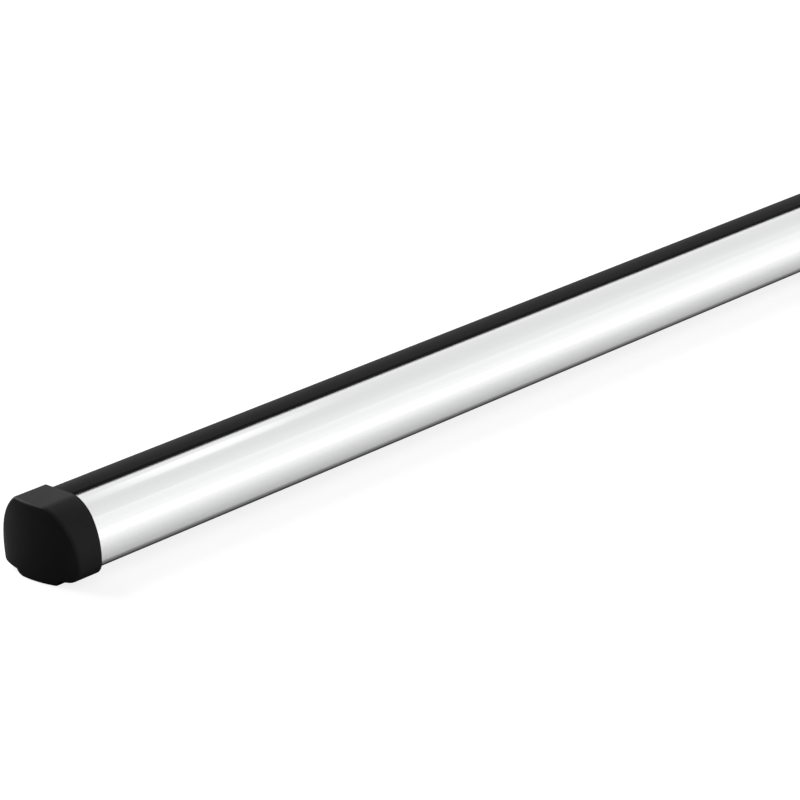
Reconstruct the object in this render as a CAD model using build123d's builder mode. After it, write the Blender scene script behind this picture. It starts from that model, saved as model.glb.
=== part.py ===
from build123d import *
from math import asin, degrees
import os

# Roof rack crossbar, in millimetres. X runs along the bar, Y across it and Z up.
# The origin is on the ground under the middle of the bar, which rests on its two end caps.
# Every cross section is drawn flat, with its x across the bar and its y up from the ground.

# Overall length, over both end caps
overall_length = 1350.0

# Outer outline of the bar
bar_width = 44.2
bar_height = 34.1
top_width = 17.9
top_shift = 0.65
near_corner_radius = 5.9
far_corner_radius = 0.5
shoulder_drop = 7.73
near_widest_height = 8.8
far_widest_height = 7.9
side_radius = 35.9
near_base_radius = 4.4
far_base_radius = 0.5
keel_width = 21.2
keel_shift = -1.1
keel_flare = 1.3
keel_depth = 2.4
keel_corner_radius = 0.5

# Walls and webs of the bar
bar_wall = 2.0
keel_wall = 2.0
chamber_corner_radius = 0.6
step_corner_share = 0.45

# T-slot along the top, for bolts with a 20 mm head
slot_shift = 2.0
slot_mouth = 11.0
slot_width = 20.5
slot_height = 7.6
slot_lip = 3.8
slot_wall = 2.0
slot_floor = 2.0

# Channel along the underside, for the bolts of the feet
foot_mouth = 11.0
foot_height = 6.0
foot_lip = 2.0
foot_ceiling = 2.0

# Rubber strip in the T-slot
strip_width = 13.3
strip_rise = 2.3
strip_edge_height = 1.0
strip_edge_radius = 0.9
strip_stem_gap = 0.15
strip_barb_gap = 0.1
strip_barb_overlap = 1.4
strip_barb_height = 2.2
strip_foot_width = 5.0

# End caps
cap_depth = 22.0
cap_wall = 1.9
cap_gap = 0.2
cap_corner_rise = 0.65
cap_keel_radius = 4.0
face_wall = 2.4
face_plan_radius = 48.0
face_profile_radius = 400.0
face_edge_radius = 1.6
seat_wall = 2.45
seat_ledge = 3.2
strip_end_gap = 0.3

# Key of the cap in the T-slot, and its two hollow pegs in the side chambers
key_gap = 0.25
key_end_gap = 1.0
peg_gap = 0.25
peg_rise = 11.5
peg_wall = 1.8
peg_corner_radius = 1.2
peg_reach = 22.0
peg_tip_chamfer = 0.8

# How far a cutting shape stands past the face that it opens
cut_margin = 1.0

# Slack when corners are picked by where they lie
pick_slack = 0.01

# Heights above the ground
bar_bottom = cap_gap + cap_wall
bar_top = bar_bottom + bar_height
base_level = bar_bottom + keel_depth
near_widest_level = bar_bottom + near_widest_height
far_widest_level = bar_bottom + far_widest_height
slot_ceiling_level = bar_top - slot_lip
slot_floor_level = slot_ceiling_level - slot_height
slot_underside_level = slot_floor_level - slot_floor
foot_floor_level = bar_bottom + foot_lip
foot_ceiling_level = foot_floor_level + foot_height
core_bottom_level = foot_ceiling_level + foot_ceiling
peg_top_level = min(near_widest_level + peg_rise, slot_underside_level - peg_gap)

# Places along the bar
cap_front = -overall_length / 2
cap_rim = cap_front + cap_depth
cap_half_width = bar_width / 2 + cap_gap + cap_wall
face_recess = face_plan_radius - (face_plan_radius**2 - cap_half_width**2) ** 0.5
bar_end = cap_front + face_recess + seat_wall
cap_overlap = cap_rim - bar_end
bar_length = -2 * bar_end
strip_length = -2 * (cap_rim + strip_end_gap)
peg_end = bar_end + peg_reach

# Widths that follow from the walls. The slot's walls stand on the webs, or step out from them.
web_width = keel_width + 2 * keel_flare
foot_width = web_width - 2 * keel_wall
web_far_side = keel_shift + web_width / 2
web_near_side = keel_shift - web_width / 2
slot_far_side = max(web_far_side, slot_shift + slot_width / 2 + slot_wall)
slot_near_side = min(web_near_side, slot_shift - slot_width / 2 - slot_wall)


def side_angles(widest_level):
    """Angles that a side's arc spans below and above its widest level."""
    below = degrees(asin((widest_level - base_level) / side_radius))
    above = degrees(asin((bar_top - shoulder_drop - widest_level) / side_radius))
    return below, above


def outline(far_corner_rise, far_keel_radius):
    """Closed outer outline of the bar's section, without its slots.

    The far corner of its top is the sharper one, and can stand higher than the rest.
    """
    side_centre = bar_width / 2 - side_radius
    near_lower_angle, near_upper_angle = side_angles(near_widest_level)
    far_lower_angle, far_upper_angle = side_angles(far_widest_level)
    far_corner = (top_shift + top_width / 2, bar_top + far_corner_rise)
    near_corner = (top_shift - top_width / 2, bar_top)
    far_keel_side = keel_shift + keel_width / 2
    near_keel_side = keel_shift - keel_width / 2
    with BuildSketch() as section:
        with BuildLine():
            far_side = CenterArc(
                (side_centre, far_widest_level),
                side_radius,
                -far_lower_angle,
                far_lower_angle + far_upper_angle,
            )
            near_side = CenterArc(
                (-side_centre, near_widest_level),
                side_radius,
                180 + near_lower_angle,
                -near_lower_angle - near_upper_angle,
            )
            far_shoulder = TangentArc(far_side @ 1, far_corner, tangent=far_side % 1)
            near_shoulder = TangentArc(near_side @ 1, near_corner, tangent=near_side % 1)
            Line(far_shoulder @ 1, near_shoulder @ 1)
            Polyline(
                far_side @ 0,
                (far_keel_side + keel_flare, base_level),
                (far_keel_side, bar_bottom),
                (near_keel_side, bar_bottom),
                (near_keel_side - keel_flare, base_level),
                near_side @ 0,
            )
        make_face()
        fillet(section.vertices().sort_by_distance(far_corner)[0], far_corner_radius)
        fillet(section.vertices().sort_by_distance(near_corner)[0], near_corner_radius)
        near_base_corner = section.vertices().sort_by_distance((-bar_width / 2, base_level))[0]
        fillet(near_base_corner, near_base_radius)
        far_base_corner = section.vertices().sort_by_distance((bar_width / 2, base_level))[0]
        fillet(far_base_corner, far_base_radius)
        near_keel_corner = section.vertices().sort_by_distance((near_keel_side, bar_bottom))[0]
        fillet(near_keel_corner, keel_corner_radius)
        far_keel_corner = section.vertices().sort_by_distance((far_keel_side, bar_bottom))[0]
        fillet(far_keel_corner, far_keel_radius)
    return section.sketch


# Outline of the bar, and the one that the outside of its caps follows, a little higher and rounder
bar_outline = outline(0, keel_corner_radius)
cap_guide = outline(cap_corner_rise, cap_keel_radius)

# T-slot: its mouth between the lips, and the wider space for the bolt heads
with BuildSketch() as slot_section:
    with Locations((slot_shift, slot_floor_level)):
        Rectangle(slot_width, slot_height, align=(Align.CENTER, Align.MIN))
    with Locations((slot_shift, slot_ceiling_level)):
        Rectangle(slot_mouth, slot_lip, align=(Align.CENTER, Align.MIN))

# Foot channel, the same the other way up
with BuildSketch() as foot_section:
    with Locations((keel_shift, foot_floor_level)):
        Rectangle(foot_width, foot_height, align=(Align.CENTER, Align.MIN))
    with Locations((keel_shift, bar_bottom)):
        Rectangle(foot_mouth, foot_lip, align=(Align.CENTER, Align.MIN))

# Closed chamber between the slot's floor and the foot channel
with BuildSketch() as core_section:
    with Locations((keel_shift, core_bottom_level)):
        Rectangle(
            foot_width,
            slot_underside_level - core_bottom_level,
            align=(Align.CENTER, Align.MIN),
        )
    fillet(core_section.vertices(), chamber_corner_radius)

# Closed chamber on each side, inside the outer wall and clear of the slot and the webs
with BuildSketch() as side_chambers:
    add(bar_outline)
    offset(amount=-bar_wall, mode=Mode.REPLACE)
    with Locations((keel_shift, bar_bottom)):
        Rectangle(web_width, bar_height, align=(Align.CENTER, Align.MIN), mode=Mode.SUBTRACT)
    with Locations((slot_near_side, slot_underside_level)):
        Rectangle(
            slot_far_side - slot_near_side,
            bar_height,
            align=(Align.MIN, Align.MIN),
            mode=Mode.SUBTRACT,
        )
    web_feet = side_chambers.vertices().filter_by(
        lambda v: abs(v.X - keel_shift) < web_width / 2 + pick_slack and v.Y < near_widest_level
    )
    fillet(web_feet, chamber_corner_radius)
    for side, step in ((-1, web_near_side - slot_near_side), (1, slot_far_side - web_far_side)):
        if step > pick_slack:
            step_corners = side_chambers.vertices().filter_by(
                lambda v: side * (v.X - keel_shift) > 0
                and abs(v.Y - slot_underside_level) < pick_slack
            )
            fillet(step_corners, min(chamber_corner_radius, step_corner_share * step))

# Solid outline of the pegs that grip in the side chambers, below the slot
with BuildSketch() as peg_section:
    add(bar_outline)
    offset(amount=-(bar_wall + peg_gap), mode=Mode.REPLACE)
    with Locations((keel_shift, bar_bottom)):
        Rectangle(
            web_width + 2 * peg_gap,
            bar_height,
            align=(Align.CENTER, Align.MIN),
            mode=Mode.SUBTRACT,
        )
    with Locations((0, peg_top_level)):
        Rectangle(bar_width, bar_height, align=(Align.CENTER, Align.MIN), mode=Mode.SUBTRACT)
    top_corners = peg_section.vertices().group_by(Axis.Y)[-1]
    bottom_corners = peg_section.vertices().group_by(Axis.Y)[0].sort_by(Axis.X)[1:3]
    fillet(top_corners + bottom_corners, peg_corner_radius)

# Aluminium extrusion
with BuildPart() as bar_profile:
    with BuildSketch(Plane.YZ.offset(bar_end)):
        add(bar_outline)
        add(slot_section.sketch, mode=Mode.SUBTRACT)
        add(foot_section.sketch, mode=Mode.SUBTRACT)
        add(core_section.sketch, mode=Mode.SUBTRACT)
        add(side_chambers.sketch, mode=Mode.SUBTRACT)
    extrude(amount=bar_length)

bar_profile.part.label = "bar_profile"


# Section of the rubber strip: a crown over the slot's lips, a stem in its mouth and barbs under the lips
with BuildSketch() as strip_section:
    stem_half = slot_mouth / 2 - strip_stem_gap
    barb_half = slot_mouth / 2 + strip_barb_overlap
    barb_level = slot_ceiling_level - strip_barb_gap
    crown_edge = bar_top + strip_edge_height
    with BuildLine():
        ThreePointArc(
            (-strip_width / 2, crown_edge),
            (0, bar_top + strip_rise),
            (strip_width / 2, crown_edge),
        )
        Polyline(
            (strip_width / 2, crown_edge),
            (strip_width / 2, bar_top),
            (stem_half, bar_top),
            (stem_half, barb_level),
            (barb_half, barb_level),
            (strip_foot_width / 2, barb_level - strip_barb_height),
            (-strip_foot_width / 2, barb_level - strip_barb_height),
            (-barb_half, barb_level),
            (-stem_half, barb_level),
            (-stem_half, bar_top),
            (-strip_width / 2, bar_top),
            (-strip_width / 2, crown_edge),
        )
    make_face()
    fillet(strip_section.vertices().group_by(Axis.Y)[-1], strip_edge_radius)

# Rubber strip
with BuildPart() as slot_strip:
    with BuildSketch(Plane.YZ.offset(-strip_length / 2)):
        with Locations((slot_shift, 0)):
            add(strip_section.sketch)
    extrude(amount=strip_length)

slot_strip.part.label = "slot_strip"


def domed_body(face_x, plan_radius):
    """Body of revolution whose outside is the cap's face, domed in plan and a little in height."""
    axis_x = cap_front + face_plan_radius
    low = -cut_margin
    high = bar_top + cap_corner_rise + cap_gap + cap_wall
    recess = face_profile_radius - (face_profile_radius**2 - (high - low) ** 2) ** 0.5
    middle = (high + low) / 2
    half_recess = face_profile_radius - (face_profile_radius**2 - (high - middle) ** 2) ** 0.5
    with BuildPart() as body:
        with BuildSketch(Plane.XZ):
            with BuildLine():
                ThreePointArc(
                    (face_x, high), (face_x + half_recess, middle), (face_x + recess, low)
                )
                Polyline((face_x + recess, low), (axis_x, low), (axis_x, high), (face_x, high))
            make_face()
        revolve(axis=Axis((axis_x, 0, 0), (0, 0, 1)))
    return body.part


# Hollow behind the upper face of the cap, with an even wall and a ledge for the bar's end.
# Below it the cap is solid, and closes the end of the foot channel.
with BuildPart() as face_hollow:
    with BuildSketch(Plane.YZ.offset(cap_front)):
        add(bar_outline)
        offset(amount=-(seat_ledge - cap_gap), mode=Mode.REPLACE)
        Rectangle(
            bar_width,
            core_bottom_level,
            align=(Align.CENTER, Align.MIN),
            mode=Mode.SUBTRACT,
        )
    extrude(amount=bar_end - cap_front)
    add(domed_body(cap_front + face_wall, face_plan_radius - face_wall), mode=Mode.INTERSECT)

# Left end cap
with BuildPart() as end_cap_left:
    with BuildSketch(Plane.YZ.offset(cap_front)):
        add(cap_guide)
        offset(amount=cap_gap + cap_wall, mode=Mode.REPLACE)
    extrude(amount=cap_depth)
    with BuildSketch(Plane.YZ.offset(bar_end)):
        add(bar_outline)
        offset(amount=cap_gap, mode=Mode.REPLACE)
    extrude(amount=cap_overlap, mode=Mode.SUBTRACT)
    add(face_hollow.part, mode=Mode.SUBTRACT)

    # The key's stem stands in the slot's mouth and runs half way into the skirt's wall
    with BuildSketch(Plane.YZ.offset(cap_front)):
        add(slot_section.sketch)
        offset(amount=-key_gap, mode=Mode.REPLACE)
        with Locations((slot_shift, slot_ceiling_level)):
            Rectangle(
                slot_mouth - 2 * key_gap,
                slot_lip + cap_gap + cap_wall / 2,
                align=(Align.CENTER, Align.MIN),
            )
    extrude(amount=cap_depth - key_end_gap)

    with BuildSketch(Plane.YZ.offset(cap_front)):
        add(peg_section.sketch)
    extrude(amount=peg_end - cap_front)
    chamfer(end_cap_left.faces().sort_by(Axis.X)[-2:].edges(), peg_tip_chamfer)
    with BuildSketch(Plane.YZ.offset(bar_end)):
        add(peg_section.sketch)
        offset(amount=-peg_wall, mode=Mode.REPLACE)
    extrude(amount=peg_reach, mode=Mode.SUBTRACT)

    add(domed_body(cap_front, face_plan_radius), mode=Mode.INTERSECT)
    fillet(end_cap_left.faces().sort_by(Axis.X)[0].edges(), face_edge_radius)

end_cap_left.part.label = "end_cap_left"


# Right end cap, the same moulding turned to face the other way
with BuildPart() as end_cap_right:
    mirror(end_cap_left.part, about=Plane.YZ)

end_cap_right.part.label = "end_cap_right"


os.makedirs("parts", exist_ok=True)
export_step(bar_profile.part, "parts/bar_profile.step")
export_step(slot_strip.part, "parts/slot_strip.step")
export_step(end_cap_left.part, "parts/end_cap_left.step")
export_step(end_cap_right.part, "parts/end_cap_right.step")
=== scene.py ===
import math

import bpy
from mathutils import Matrix, Vector

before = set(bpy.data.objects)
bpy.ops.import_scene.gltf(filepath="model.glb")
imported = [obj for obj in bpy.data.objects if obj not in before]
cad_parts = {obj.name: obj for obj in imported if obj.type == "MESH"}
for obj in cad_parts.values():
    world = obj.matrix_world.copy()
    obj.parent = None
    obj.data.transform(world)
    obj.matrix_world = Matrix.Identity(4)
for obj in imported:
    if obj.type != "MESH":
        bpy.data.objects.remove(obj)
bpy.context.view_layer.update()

# A roof rack crossbar on white paper. Lengths are in metres, unless a comment says otherwise

# Colours of the finishes
ALUMINIUM = (0.91, 0.913, 0.916)
RUBBER = (0.008, 0.008, 0.0085)
SKIRT_PLASTIC = (0.0035, 0.0035, 0.0038)
# Painted light: the caps' faces get a lighter copy of the black than the skirts, to brighten them
FACE_PLASTIC_PAINTED_LIGHTER = (0.019, 0.0185, 0.020)

# Scales of the textures, in features per metre. Those with three run lengthwise: they are coarse along X
DIE_LINES = (0.6, 420.0, 420.0)
FINE_DIE_LINES = (3.0, 1500.0, 1500.0)
ANODISING_CLOUDS = (1.4, 26.0, 26.0)
ETCHED_GRAIN = 5200.0
MOULD_GRAIN = 2600.0
MOULD_SHEEN = 90.0
RUBBER_LINES = (4.0, 1300.0, 1300.0)
RUBBER_BLOOM = (9.0, 60.0, 60.0)
RUBBER_GRAIN = 3800.0

# Between these two lie most of a noise texture's values
NOISE_REACH = (0.3, 0.7)

# How squarely a cap's surface faces along the bar: up to the first value it is skirt, from the second face,
# which gets a duller sheen and a painted lighter colour
FACE_TURN = (0.72, 0.92)

# Sockets of a colour mix node, which has several of the same name
MIX_FACTOR, MIX_OFF, MIX_ON, MIXED = 0, 6, 7, 2

# The floor as the camera sees it: the grey takes the shadows and the glow lifts it to white
FLOOR_SIZE = 60.0
FLOOR_GREY = 0.35
FLOOR_GLOW = 0.84

# The floor in reflections: a glowing white with a painted contact shadow, which darkens it within reach of
# the object
MIRRORED_GLOW = 1.12
CONTACT_REACH = 0.4
PAINTED_CONTACT_SHADOW = 3.8
CONTACT_SAMPLES = 16

# The floor as it throws light back at the object
BOUNCE_GREY = 0.25

# The sky: the light it gives, and how much darker than white it gets overhead in reflections
SKY_LIGHT = 0.28
ZENITH_DARKENING = 0.24
ZENITH_FALLOFF = 1.5

# The camera: its angles in degrees, its focal length in pixels of the photograph, its sensor in millimetres
PITCH = 19.4
HEADING = 39.14
FOCAL_PIXELS = 3694.0
FRAME_PIXELS = 800
SENSOR = 36.0
CLIP_START = 0.05
CLIP_END = 100.0

# The top of the left cap's rim: its place, where it shows in the photograph, and the scale there
RIM_TOP = Vector((-0.653, 0.0, 0.0383))
RIM_PIXEL = (61.6, 490.45)
RIM_PIXELS_PER_METRE = 2200.0


class Nodes:
    """Makes and links the nodes of one tree. An input is given an output to link, or a constant."""

    def __init__(self, owner):
        """Starts the tree of a material or a world afresh."""
        owner.use_nodes = True
        owner.node_tree.nodes.clear()
        self.tree = owner.node_tree

    def make(self, kind, inputs=None, **settings):
        node = self.tree.nodes.new(kind)
        for name, value in settings.items():
            setattr(node, name, value)
        for name, value in (inputs or {}).items():
            self.feed(node.inputs[name], value)
        return node

    def feed(self, socket, value):
        if isinstance(value, bpy.types.NodeSocket):
            self.tree.links.new(value, socket)
        else:
            socket.default_value = value

    def math(self, operation, a, b=0.0):
        return self.make("ShaderNodeMath", {0: a, 1: b}, operation=operation).outputs["Value"]

    def average(self, a, b, share_of_a=0.5):
        """The average of two values, weighted by the share of the first."""
        first = self.math("MULTIPLY", a, share_of_a)
        return self.math("ADD", first, self.math("MULTIPLY", b, 1.0 - share_of_a))

    def split(self, vector):
        return self.make("ShaderNodeSeparateXYZ", {"Vector": vector}).outputs

    def stretched(self, vector, scale):
        return self.make("ShaderNodeMapping", {"Vector": vector, "Scale": scale}).outputs["Vector"]

    def noise(self, place, scale, detail=2.0, roughness=0.5):
        """A noise of one scale, or of one for each axis."""
        if isinstance(scale, tuple):
            place, scale = self.stretched(place, scale), 1.0
        inputs = {"Vector": place, "Scale": scale, "Detail": detail, "Roughness": roughness}
        return self.make("ShaderNodeTexNoise", inputs).outputs["Fac"]

    def to_range(self, value, start, end, reach=NOISE_REACH):
        """A value that runs from start to end while the given one runs over its reach."""
        low, high = reach
        inputs = {"Value": value, "From Min": low, "From Max": high, "To Min": start, "To Max": end}
        return self.make("ShaderNodeMapRange", inputs).outputs["Result"]

    def shaded(self, texture, colour, darkest, lightest):
        """A colour that a texture makes darker and lighter, by factors."""
        node = self.make("ShaderNodeValToRGB", {"Fac": texture})
        for stop, position, factor in zip(node.color_ramp.elements, NOISE_REACH, (darkest, lightest)):
            stop.position = position
            stop.color = (*[part * factor for part in colour], 1.0)
        return node.outputs["Color"]

    def mix_colours(self, factor, off, on):
        inputs = {MIX_FACTOR: factor, MIX_OFF: off, MIX_ON: on}
        return self.make("ShaderNodeMix", inputs, data_type="RGBA").outputs[MIXED]

    def mix_shaders(self, factor, off, on):
        return self.make("ShaderNodeMixShader", {"Fac": factor, 1: off, 2: on}).outputs["Shader"]

    def bump(self, height, distance, strength, below=None):
        """Relief from a texture, on top of the relief below if there is one."""
        inputs = {"Height": height, "Distance": distance, "Strength": strength}
        if below is not None:
            inputs["Normal"] = below
        return self.make("ShaderNodeBump", inputs).outputs["Normal"]

    def diffuse(self, grey):
        return self.make("ShaderNodeBsdfDiffuse", {"Color": (grey, grey, grey, 1.0)}).outputs["BSDF"]

    def white(self, kind, strength):
        """White light, as an emission or as a background."""
        return self.make(kind, {"Color": (1.0, 1.0, 1.0, 1.0), "Strength": strength}).outputs[0]

    def ray(self, *kinds):
        """1 for a ray of any of the kinds, and 0 for the others."""
        path = self.make("ShaderNodeLightPath").outputs
        found = path[f"Is {kinds[0]} Ray"]
        for kind in kinds[1:]:
            found = self.math("MAXIMUM", found, path[f"Is {kind} Ray"])
        return found


def new_finish(name):
    """A material with one shader to fill in, its nodes, and the places on the object."""
    finish = bpy.data.materials.new(name)
    n = Nodes(finish)
    shader = n.make("ShaderNodeBsdfPrincipled")
    n.make("ShaderNodeOutputMaterial", {"Surface": shader.outputs["BSDF"]})
    place = n.make("ShaderNodeTexCoord").outputs["Object"]
    return finish, n, shader.inputs, place


def anodised_aluminium():
    """Satin anodised extrusion: faint lengthwise die lines over a fine etched grain."""
    finish, n, surface, place = new_finish("anodised_aluminium")
    lines = n.noise(place, DIE_LINES, detail=3.0)
    fine_lines = n.noise(place, FINE_DIE_LINES)
    grain = n.noise(place, ETCHED_GRAIN)
    clouds = n.noise(place, ANODISING_CLOUDS)
    tone = n.average(lines, clouds, share_of_a=0.6)
    n.feed(surface["Base Color"], n.shaded(tone, ALUMINIUM, darkest=0.975, lightest=1.02))
    n.feed(surface["Roughness"], n.to_range(n.average(fine_lines, grain), start=0.21, end=0.27))
    lined = n.bump(fine_lines, distance=0.00002, strength=0.25)
    n.feed(surface["Normal"], n.bump(grain, distance=0.00001, strength=0.2, below=lined))
    n.feed(surface["Metallic"], 0.9)
    n.feed(surface["IOR"], 1.6)
    return finish


def black_plastic():
    """Black moulding with a fine spark-eroded grain, satin on the skirt and duller on the face. The face's
    colour is painted lighter than the skirt's, as painted light.
    """
    finish, n, surface, place = new_finish("black_plastic")
    normal = n.make("ShaderNodeTexCoord").outputs["Normal"]
    face = n.to_range(n.math("ABSOLUTE", n.split(normal)["X"]), start=0.0, end=1.0, reach=FACE_TURN)
    grain = n.noise(place, MOULD_GRAIN, detail=3.0, roughness=0.6)
    skirt_tone = n.shaded(grain, SKIRT_PLASTIC, darkest=0.8, lightest=1.25)
    # Painted light: where the surface faces along the bar, it gets the lighter copy of the black
    face_painted_lighter_tone = n.shaded(grain, FACE_PLASTIC_PAINTED_LIGHTER, darkest=0.8, lightest=1.25)
    n.feed(surface["Base Color"], n.mix_colours(face, skirt_tone, face_painted_lighter_tone))
    n.feed(surface["Roughness"], n.to_range(n.noise(place, MOULD_SHEEN), start=0.50, end=0.58))
    n.feed(surface["Specular IOR Level"], n.to_range(face, start=0.16, end=0.022, reach=(0.0, 1.0)))
    n.feed(surface["Normal"], n.bump(grain, distance=0.00004, strength=0.35))
    return finish


def black_rubber():
    """Matte extruded rubber with faint lengthwise lines and a little bloom."""
    finish, n, surface, place = new_finish("black_rubber")
    lines = n.noise(place, RUBBER_LINES)
    grain = n.noise(place, RUBBER_GRAIN)
    bloom = n.noise(place, RUBBER_BLOOM, detail=3.0)
    n.feed(surface["Base Color"], n.shaded(bloom, RUBBER, darkest=0.85, lightest=1.3))
    n.feed(surface["Roughness"], n.to_range(grain, start=0.58, end=0.70))
    lined = n.bump(lines, distance=0.00004, strength=0.4)
    n.feed(surface["Normal"], n.bump(grain, distance=0.00003, strength=0.3, below=lined))
    n.feed(surface["Specular IOR Level"], 0.08)
    return finish


def dress(finish, *names):
    """Gives nodes of the frame one finish all over."""
    for name in names:
        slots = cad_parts[name].data.materials
        slots.clear()
        slots.append(finish)


def white_floor():
    """White paper, which the camera, the reflections and the object's lighting each see differently. In
    reflections it is a glow with a painted contact shadow.
    """
    bpy.ops.mesh.primitive_plane_add(size=FLOOR_SIZE, location=(0.0, 0.0, 0.0))
    floor = bpy.context.object
    floor.name = "floor"
    paper = bpy.data.materials.new("floor_paper")
    n = Nodes(paper)
    # Painted shadow: the glow seen in reflections darkens near the object by ambient occlusion
    openness = n.make("ShaderNodeAmbientOcclusion", {"Distance": CONTACT_REACH}, samples=CONTACT_SAMPLES)
    painted_contact_shadow = n.math("POWER", openness.outputs["AO"], PAINTED_CONTACT_SHADOW)
    mirrored = n.white("ShaderNodeEmission", n.math("MULTIPLY", painted_contact_shadow, MIRRORED_GLOW))
    indirect = n.mix_shaders(n.ray("Glossy", "Transmission"), off=n.diffuse(BOUNCE_GREY), on=mirrored)
    glow = n.white("ShaderNodeEmission", FLOOR_GLOW)
    shown = n.make("ShaderNodeAddShader", {0: n.diffuse(FLOOR_GREY), 1: glow}).outputs["Shader"]
    look = n.mix_shaders(n.ray("Camera"), off=indirect, on=shown)
    n.make("ShaderNodeOutputMaterial", {"Surface": look})
    floor.data.materials.append(paper)


def studio_sky():
    """White all round where it is seen, a little darker overhead in reflections, and a soft light."""
    world = bpy.data.worlds.new("studio")
    bpy.context.scene.world = world
    n = Nodes(world)
    direction = n.make("ShaderNodeTexCoord").outputs["Generated"]
    height = n.math("MAXIMUM", n.split(direction)["Z"], 0.0)
    overhead = n.math("POWER", height, ZENITH_FALLOFF)
    darkening = n.math("MULTIPLY", overhead, n.math("MULTIPLY", n.ray("Glossy"), ZENITH_DARKENING))
    shown = n.white("ShaderNodeBackground", n.math("SUBTRACT", 1.0, darkening))
    light = n.white("ShaderNodeBackground", SKY_LIGHT)
    look = n.mix_shaders(n.ray("Camera", "Glossy", "Transmission"), off=light, on=shown)
    n.make("ShaderNodeOutputWorld", {"Surface": look})


def softbox(name, place, aim, width, height, power):
    """A rectangular lamp at one place, turned towards another, with its power in watts."""
    light = bpy.data.lights.new(name, "AREA")
    light.shape = "RECTANGLE"
    light.size = width
    light.size_y = height
    light.energy = power
    lamp = bpy.data.objects.new(name, light)
    lamp.location = place
    lamp.rotation_euler = (Vector(aim) - Vector(place)).to_track_quat("-Z", "Y").to_euler()
    bpy.context.scene.collection.objects.link(lamp)


def studio_lamps():
    """A key from behind, a bank of three in front, and a small one for the left cap's shoulder."""
    softbox("key", (-0.7, 1.8, 1.4), aim=(-0.3, 0.0, 0.0), width=1.4, height=1.4, power=50.0)
    bank_aim = (-0.3, 0.0, 0.1)
    softbox("front_low", (1.9, -2.0, 0.14), aim=bank_aim, width=2.8, height=0.26, power=1.5)
    softbox("front_high", (2.0, -2.1, 0.6), aim=bank_aim, width=2.8, height=1.1, power=1.1)
    softbox("front_top", (2.0, -2.1, 1.5), aim=bank_aim, width=2.8, height=0.75, power=0.45)
    softbox("shoulder", (-0.254, 0.04, 0.37), aim=(-0.62, 0.0, 0.03), width=0.2, height=0.1, power=0.032)


def camera():
    """The camera that shows the object as the photograph does."""
    pitch, heading = math.radians(PITCH), math.radians(HEADING)
    level = math.cos(pitch)
    forward = Vector((level * math.cos(heading), level * math.sin(heading), -math.sin(pitch)))
    right = Vector((math.sin(heading), -math.cos(heading), 0.0))
    up = right.cross(forward)
    across = (RIM_PIXEL[0] - FRAME_PIXELS / 2) / FOCAL_PIXELS
    above = (FRAME_PIXELS / 2 - RIM_PIXEL[1]) / FOCAL_PIXELS
    distance = FOCAL_PIXELS / RIM_PIXELS_PER_METRE
    data = bpy.data.cameras.new("camera")
    data.sensor_width = SENSOR
    data.lens = FOCAL_PIXELS / FRAME_PIXELS * SENSOR
    data.clip_start = CLIP_START
    data.clip_end = CLIP_END
    cam = bpy.data.objects.new("camera", data)
    place = RIM_TOP - distance * (across * right + above * up + forward)
    turn = Matrix((right, up, -forward)).transposed().to_4x4()
    cam.matrix_world = Matrix.Translation(place) @ turn
    bpy.context.scene.collection.objects.link(cam)
    bpy.context.scene.camera = cam


dress(anodised_aluminium(), "bar_profile")
dress(black_plastic(), "end_cap_left", "end_cap_right")
dress(black_rubber(), "slot_strip")
white_floor()
studio_sky()
studio_lamps()
camera()
bpy.context.scene.view_settings.view_transform = "Standard"
